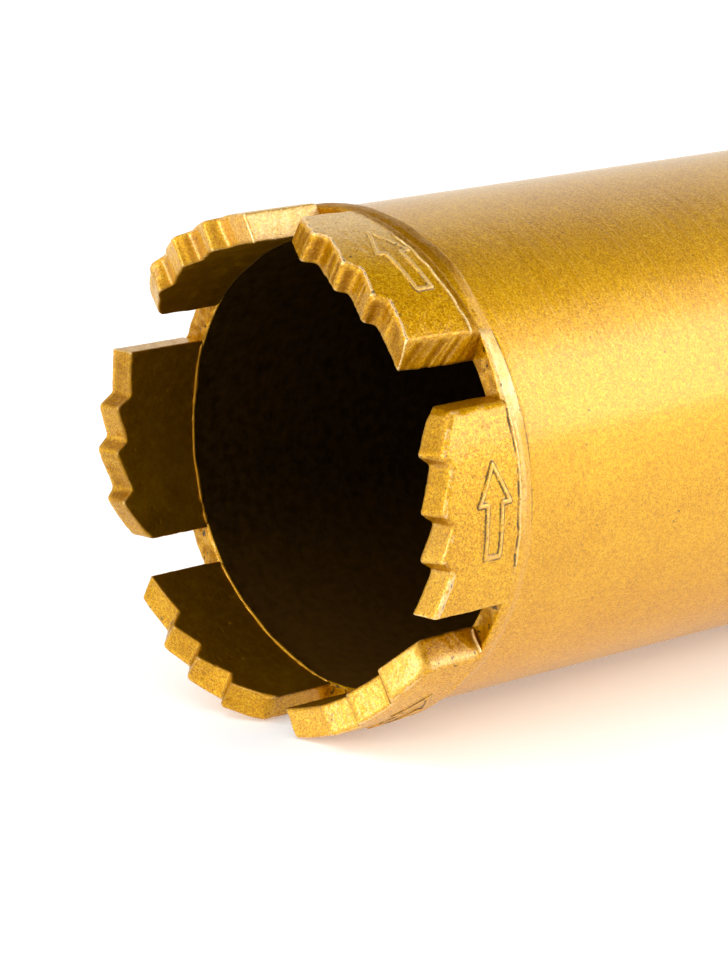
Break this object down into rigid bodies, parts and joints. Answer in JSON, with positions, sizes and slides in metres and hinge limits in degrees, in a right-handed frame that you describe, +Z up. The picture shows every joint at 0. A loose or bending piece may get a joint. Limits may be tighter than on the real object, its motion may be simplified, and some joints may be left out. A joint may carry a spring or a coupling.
{
  "type": "diamond core bit",
  "caption": "Tubular core bit: saw-toothed abrasive segments welded round the rim of a gold-painted steel barrel, with a back plate and a threaded hub at its rear.",
  "frame": {"origin": "on the surface that the bit lies on, under the middle of its length", "axes": "+X along the bit's axis from the cutting crown to the spindle end, +Z up, with the bit lying on the corners of two neighbouring segments"},
  "size_m": [0.1931, 0.0634, 0.063],
  "materials": {
    "gold_painted_steel": "satin metallic gold paint over steel, fine flake",
    "painted_segment": "metallic gold paint over a sintered, gritty abrasive, worn to grey along the tooth edges"
  },
  "bodies": {
    "root": {"barrel": "gold_painted_steel", "segment_1": "painted_segment", "segment_2": "painted_segment", "segment_3": "painted_segment", "segment_4": "painted_segment", "segment_5": "painted_segment", "segment_6": "painted_segment", "back_plate": "gold_painted_steel", "hub": "gold_painted_steel"}
  },
  "joints": []
}
